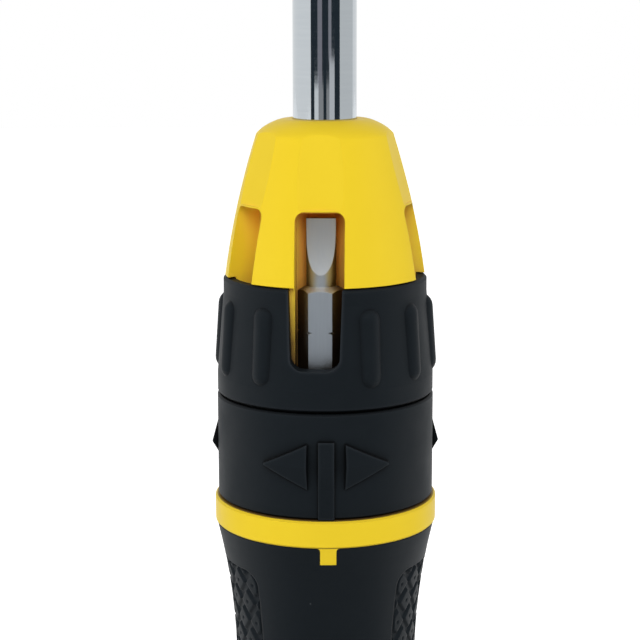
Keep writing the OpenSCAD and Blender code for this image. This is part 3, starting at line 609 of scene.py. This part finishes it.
# Seen from inside the solid, an edge is closed off by its other face, and a flat face is open
from_inside = add_node(
    tree, "AmbientOcclusion", {"samples": 8, "inside": True}, {"Distance": nylon_highlight_width}
)
# Painted highlight: edges are painted paler
edge_highlight = add_node(
    tree,
    "MapRange",
    values={"From Min": 0.5, "From Max": 0.95, "To Min": 0.2, "To Max": 0.0},
    links={"Value": from_inside.outputs["AO"]},
)
edge_highlighted = add_node(
    tree,
    "Mix",
    {"data_type": "RGBA"},
    {7: linear("#454a4f")},
    {0: edge_highlight.outputs["Result"], 6: nylon_tint.outputs[2]},
)
# Painted shade: creases are painted near black
from_outside = add_node(tree, "AmbientOcclusion", {"samples": 8}, {"Distance": nylon_shade_width})
crease_shade = add_node(
    tree,
    "MapRange",
    values={"From Min": 0.68, "From Max": 0.98, "To Min": 1.0, "To Max": 0.0},
    links={"Value": from_outside.outputs["AO"]},
)
crease_shaded = add_node(
    tree,
    "Mix",
    {"data_type": "RGBA"},
    {7: linear("#040506")},
    {0: crease_shade.outputs["Result"], 6: edge_highlighted.outputs[2]},
)
nylon_gloss = add_node(
    tree,
    "MapRange",
    values={**noise_span, "To Min": 0.5, "To Max": 0.6},
    links={"Value": nylon_cloud.outputs["Fac"]},
)
round_edge = add_node(tree, "Bevel", {"samples": 6}, {"Radius": nylon_edge_radius})
nylon_relief = add_node(
    tree,
    "Bump",
    values={"Strength": 0.12, "Distance": 0.00003},
    links={"Height": nylon_grain.outputs["Fac"], "Normal": round_edge.outputs["Normal"]},
)
nylon_shader = add_node(
    tree,
    "BsdfPrincipled",
    values={"IOR": 1.53, "Specular IOR Level": 0.08},
    links={
        "Base Color": crease_shaded.outputs[2],
        "Roughness": nylon_gloss.outputs["Result"],
        "Normal": nylon_relief.outputs["Normal"],
    },
)
end_material(tree, nylon_shader)
dress(black_nylon, "selector_collar", "window_ring")


# Bit carousel. The yellow nose is one moulding with six upright slots for the bits. It is keyed on the
# housing's hub, held there by the snap ring, and made of the same ABS as the core.
dress(yellow_abs, "bit_carousel")


# Bits. Five are stored in the nose and one is in the shaft's socket. Each is turned and milled from a
# hexagonal bar of tool steel, hardened, then blasted.

# Blasted tool steel: an even satin grey, slightly cold, finely pitted, with longer streaks from grinding.
# Where a bit lies close to the wall of its pocket or socket, it is painted darker as shade. The pits,
# about 0.03 mm, are drawn at 0.15 mm so that they show.
bit_pit_size = 0.00015
bit_streak_size = 0.0004
bit_streak_length = 0.005
bit_edge_radius = 0.00012
bit_shade_reach = 0.004
blasted_steel, tree, place = start_material("blasted_tool_steel")
pits = add_node(tree, "TexNoise", values={"Scale": 1 / bit_pit_size, "Detail": 2.0}, links={"Vector": place})
streak_map = add_node(
    tree,
    "Mapping",
    values={"Scale": (1 / bit_streak_size, 1 / bit_streak_size, 1 / bit_streak_length)},
    links={"Vector": place},
)
streaks = add_node(
    tree, "TexNoise", values={"Scale": 1.0, "Detail": 3.0}, links={"Vector": streak_map.outputs["Vector"]}
)
bit_tint = add_node(
    tree,
    "Mix",
    {"data_type": "RGBA"},
    {6: linear("#cfd6dd"), 7: linear("#e0e6ec")},
    {0: streaks.outputs["Fac"]},
)
bit_openness = add_node(tree, "AmbientOcclusion", {"samples": 8}, {"Distance": bit_shade_reach})
# Painted shade: where a bit lies close to a wall, it is painted a dark brownish grey
pocket_shade = add_node(
    tree,
    "MapRange",
    values={"From Min": 0.33, "From Max": 0.53, "To Min": 1.0, "To Max": 0.0},
    links={"Value": bit_openness.outputs["AO"]},
)
pocket_shaded = add_node(
    tree,
    "Mix",
    {"data_type": "RGBA"},
    {7: linear("#5e564c")},
    {0: pocket_shade.outputs["Result"], 6: bit_tint.outputs[2]},
)
bit_gloss = add_node(
    tree,
    "MapRange",
    values={**noise_span, "To Min": 0.5, "To Max": 0.62},
    links={"Value": streaks.outputs["Fac"]},
)
round_edge = add_node(tree, "Bevel", {"samples": 6}, {"Radius": bit_edge_radius})
bit_relief = add_node(
    tree,
    "Bump",
    values={"Strength": 0.15, "Distance": 0.00002},
    links={"Height": pits.outputs["Fac"], "Normal": round_edge.outputs["Normal"]},
)
bit_shader = add_node(
    tree,
    "BsdfPrincipled",
    values={"Metallic": 1.0},
    links={
        "Base Color": pocket_shaded.outputs[2],
        "Roughness": bit_gloss.outputs["Result"],
        "Normal": bit_relief.outputs["Normal"],
    },
)
end_material(tree, bit_shader)
dress(
    blasted_steel,
    "slotted_bit_front",
    "slotted_bit_small",
    "phillips_bit_small",
    "torx_bit_large",
    "torx_bit_small",
    "phillips_bit_chuck",
)


# Shaft and magnet. A round steel bar with a hexagon socket broached into its tip, nickel and chrome
# plated, and a small plated magnet glued under the socket.

# Bright chrome over nickel: a cool mirror, with only a trace of the polishing lines around the bar and a
# very slight change of gloss along it. The lines are drawn 0.4 mm apart so that they show.
polish_line_size = 0.0004
polish_line_length = 0.01
chrome, tree, place = start_material("bright_chrome_plate")
polish_map = add_node(
    tree,
    "Mapping",
    values={"Scale": (1 / polish_line_length, 1 / polish_line_length, 1 / polish_line_size)},
    links={"Vector": place},
)
polish = add_node(
    tree, "TexNoise", values={"Scale": 1.0, "Detail": 2.0}, links={"Vector": polish_map.outputs["Vector"]}
)
chrome_tint = add_node(
    tree,
    "Mix",
    {"data_type": "RGBA"},
    {6: linear("#bcc2c7"), 7: linear("#c3c9cd")},
    {0: polish.outputs["Fac"]},
)
chrome_gloss = add_node(
    tree,
    "MapRange",
    values={**noise_span, "To Min": 0.04, "To Max": 0.07},
    links={"Value": polish.outputs["Fac"]},
)
chrome_shader = add_node(
    tree,
    "BsdfPrincipled",
    values={"Metallic": 1.0},
    links={"Base Color": chrome_tint.outputs[2], "Roughness": chrome_gloss.outputs["Result"]},
)
end_material(tree, chrome_shader)
dress(chrome, "shaft")

# Nickel plate on the magnet: warmer than chrome, with the slight ripple of barrel plating.
barrel_ripple_size = 0.0012
nickel, tree, place = start_material("barrel_plated_nickel")
ripple = add_node(
    tree, "TexNoise", values={"Scale": 1 / barrel_ripple_size, "Detail": 2.0}, links={"Vector": place}
)
nickel_tint = add_node(
    tree,
    "Mix",
    {"data_type": "RGBA"},
    {6: linear("#a8a49b"), 7: linear("#bdb9b0")},
    {0: ripple.outputs["Fac"]},
)
nickel_relief = add_node(
    tree,
    "Bump",
    values={"Strength": 0.1, "Distance": 0.00002},
    links={"Height": ripple.outputs["Fac"]},
)
nickel_shader = add_node(
    tree,
    "BsdfPrincipled",
    values={"Metallic": 1.0, "Roughness": 0.2},
    links={"Base Color": nickel_tint.outputs[2], "Normal": nickel_relief.outputs["Normal"]},
)
end_material(tree, nickel_shader)
dress(nickel, "bit_magnet")


# Studio. A pale floor in an even white surround, with a soft lamp high at the front and a lower one at each
# side. A curved card with a dark band and pale strips stands behind the camera, and a grey one lies on the
# floor. Reflections see the cards and not the lamps, and nothing else sees the cards.
scene = bpy.context.scene
scene.view_settings.view_transform = "Standard"
surround_light = 0.21


def seen_by_eye(tree):
    """A socket that is 1 for rays from the camera and those that it sees mirrored or through a clear piece,
    and 0 for light that only falls on the tool: the highest of three kinds of ray."""
    ray = add_node(tree, "LightPath")
    mirrored = add_node(
        tree,
        "Math",
        {"operation": "MAXIMUM"},
        links={0: ray.outputs["Is Glossy Ray"], 1: ray.outputs["Is Transmission Ray"]},
    )
    seen = add_node(
        tree,
        "Math",
        {"operation": "MAXIMUM"},
        links={0: ray.outputs["Is Camera Ray"], 1: mirrored.outputs["Value"]},
    )
    return seen.outputs["Value"]


world = bpy.data.worlds.new("studio_surround")
world.use_nodes = True
scene.world = world
tree = world.node_tree
tree.nodes.clear()
level = add_node(
    tree, "MapRange", values={"To Min": surround_light, "To Max": 1.0}, links={"Value": seen_by_eye(tree)}
)
surround = add_node(
    tree,
    "Background",
    values={"Color": (1.0, 1.0, 1.0, 1.0)},
    links={"Strength": level.outputs["Result"]},
)
add_node(tree, "OutputWorld", links={"Surface": surround.outputs["Background"]})

# The floor is white paper: it takes the tool's shadow, and for the camera and for reflections it is lifted
# to the white of the surround
floor_size = 4.0
floor_lift = 0.9
corner = np.array([-floor_size / 2, floor_size / 2])
floor_points = np.stack([*np.meshgrid(corner, corner), np.zeros((2, 2))], axis=-1)
floor = grid_mesh("studio_floor", floor_points, flip=False)
floor_paper = bpy.data.materials.new("white_paper_floor")
floor_paper.use_nodes = True
tree = floor_paper.node_tree
tree.nodes.clear()
lift = add_node(
    tree, "MapRange", values={"To Min": 0.0, "To Max": floor_lift}, links={"Value": seen_by_eye(tree)}
)
paper = add_node(
    tree,
    "BsdfPrincipled",
    values={"Base Color": linear("#e6e6e6"), "Roughness": 0.9, "Emission Color": (1.0, 1.0, 1.0, 1.0)},
    links={"Emission Strength": lift.outputs["Result"]},
)
end_material(tree, paper)
floor.data.materials.append(floor_paper)


card_columns = 65


def card_surface(middle, half_width, foot, top, radius):
    """A strip of an upright cylinder around the tool: x = r sin(a), y = -r cos(a), for angles within a half
    width of the middle, in degrees, between two heights."""
    angle = np.radians(np.linspace(middle - half_width, middle + half_width, card_columns))[None, :]
    z = np.array([foot, top])[:, None]
    angle, z = np.broadcast_arrays(angle, z)
    return np.stack([radius * np.sin(angle), -radius * np.cos(angle), z], axis=-1)


def hang_card(name, points, colour):
    """Hangs a card of one colour that only reflections see."""
    card = grid_mesh(name, points, flip=False)
    paint = bpy.data.materials.new(name + "_paint")
    paint.use_nodes = True
    paint.node_tree.nodes.clear()
    glow = add_node(paint.node_tree, "Emission", values={"Color": linear(colour)})
    add_node(paint.node_tree, "OutputMaterial", links={"Surface": glow.outputs["Emission"]})
    card.data.materials.append(paint)
    card.visible_camera = False
    card.visible_diffuse = False
    card.visible_shadow = False
    card.visible_transmission = False


card_radius = 0.6
strip_radius = 0.595
card_foot = 0.002
card_top = 0.6
band_foot = 0.095
band_top = 0.21
strip_step = 0.1285
right_strip_step = 0.1405
strip_top = 0.2
# Each card's middle and half width in degrees, its foot, its top and how far it stands from the tool. The
# strips stand just in front of the dark band.
for name, middle, half_width, foot, top, radius, colour in (
    ("dark_card", 1.0, 53.0, band_foot, band_top, card_radius, "#2c353c"),
    ("low_card", 1.0, 53.0, card_foot, band_foot, card_radius, "#93979a"),
    ("high_card", 1.0, 53.0, band_top, card_top, card_radius, "#b0b4b8"),
    ("right_pale_card", 86.0, 32.0, card_foot, card_top, card_radius, "#e2e3e3"),
    ("left_strip_wide", -31.0, 7.5, card_foot, strip_step, strip_radius, "#f6f7f8"),
    ("left_strip_low", -14.7, 8.7, card_foot, strip_step, strip_radius, "#a0a0a2"),
    ("left_strip_high", -18.5, 8.0, strip_step, strip_top, strip_radius, "#908e96"),
    ("right_strip_low", 9.9, 5.3, card_foot, strip_step, strip_radius, "#a0a0a2"),
    ("right_strip_wide", 24.5, 9.3, card_foot, right_strip_step, strip_radius, "#dadbdd"),
    ("right_strip_high", 17.0, 5.4, right_strip_step, strip_top, strip_radius, "#96959c"),
):
    hang_card(name, card_surface(middle, half_width, foot, top, radius), colour)


def floor_card_surface(half_width, near, far, height):
    """A sector of a flat ring around the tool: x = r sin(a), y = -r cos(a), between two radii."""
    angle = np.radians(np.linspace(-half_width, half_width, card_columns))[None, :]
    radius = np.array([far, near])[:, None]
    angle, radius = np.broadcast_arrays(angle, radius)
    return np.stack([radius * np.sin(angle), -radius * np.cos(angle), np.full(angle.shape, height)], axis=-1)


floor_card_half_width = 75.0
floor_card_near = 0.03
floor_card_height = 0.001
hang_card(
    "dark_floor_card",
    floor_card_surface(floor_card_half_width, floor_card_near, card_radius, floor_card_height),
    "#93979a",
)


lamp_aim = np.array([0.0, 0.0, 0.12])
lamp_size = 0.6


def hang_lamp(name, place, power):
    """Hangs a square soft lamp at a place, turned to face the tool. Reflections see the cards instead."""
    lamp = bpy.data.lights.new(name, "AREA")
    lamp.size = lamp_size
    lamp.energy = power
    holder = bpy.data.objects.new(name, lamp)
    holder.location = place
    toward = lamp_aim - np.array(place)
    flat = math.hypot(toward[0], toward[1])
    holder.rotation_euler = (math.atan2(flat, -toward[2]), 0.0, math.atan2(-toward[0], toward[1]))
    holder.visible_glossy = False
    scene.collection.objects.link(holder)


hang_lamp("front_lamp", (0.0, -0.85, 0.66), 6.55)
hang_lamp("left_lamp", (-0.8, -0.15, 0.3), 3.2)
hang_lamp("right_lamp", (0.8, -0.15, 0.3), 2.5)


# Camera. It looks a little down on the front of the tool, from close by, with a long lens. It is tilted a
# hair, as in the photo.
camera_down = math.radians(10.6)
camera_tilt = math.radians(0.13)
camera_turn = math.radians(-1.236)
camera_data = bpy.data.cameras.new("front_camera")
camera_data.sensor_width = 36.0
camera_data.lens = 98.44
camera_data.clip_start = 0.01
camera = bpy.data.objects.new("front_camera", camera_data)
camera.location = (-0.00662, -0.27422, 0.1723)
camera.rotation_euler = (math.pi / 2 - camera_down, camera_tilt, camera_turn)
scene.collection.objects.link(camera)
scene.camera = camera
